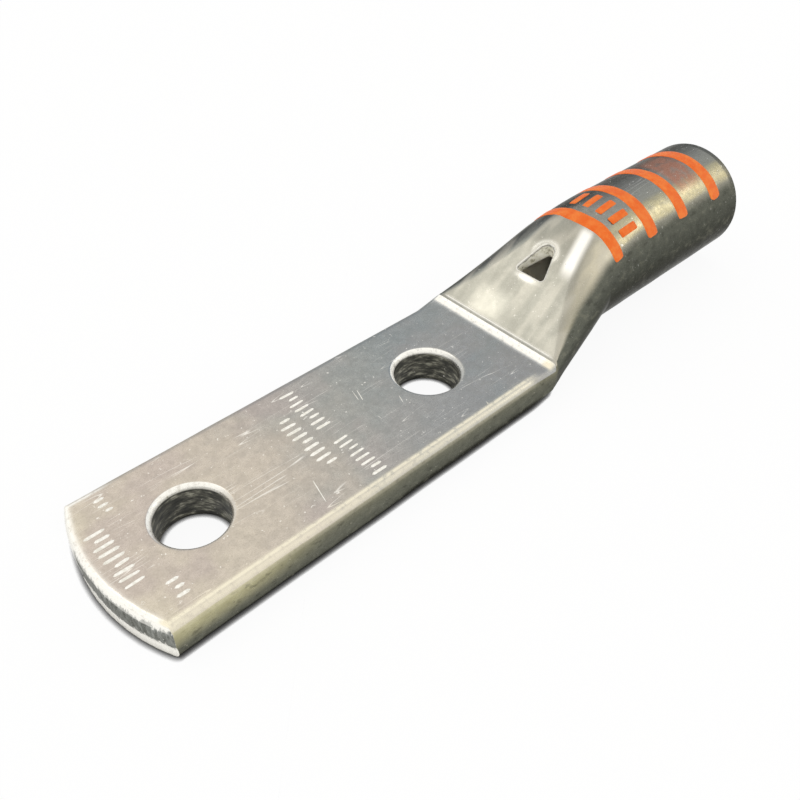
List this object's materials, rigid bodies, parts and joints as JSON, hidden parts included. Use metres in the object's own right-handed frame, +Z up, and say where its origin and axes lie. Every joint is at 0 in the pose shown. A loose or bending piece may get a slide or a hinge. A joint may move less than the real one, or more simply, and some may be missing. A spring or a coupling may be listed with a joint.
{
  "type": "tubular cable lug",
  "caption": "Tinned copper cable lug: round crimp barrel, ramp with a sight hole, and a flat tongue with stud holes in a line.",
  "frame": {"origin": "midway between the two stud holes, on the flat underside that is bolted down", "axes": "+X along the lug from the tongue's nose towards the barrel mouth, +Z up, square to the tongue"},
  "size_m": [0.1339, 0.0282, 0.0213],
  "materials": {
    "tinned_copper": "tin plated copper, satin, lightly scratched and mottled",
    "orange_ink": "orange marking ink, matt, a little worn"
  },
  "bodies": {
    "root": {"lug_body": "tinned_copper", "printed_bands": "orange_ink", "printed_bars": "orange_ink"}
  },
  "joints": []
}
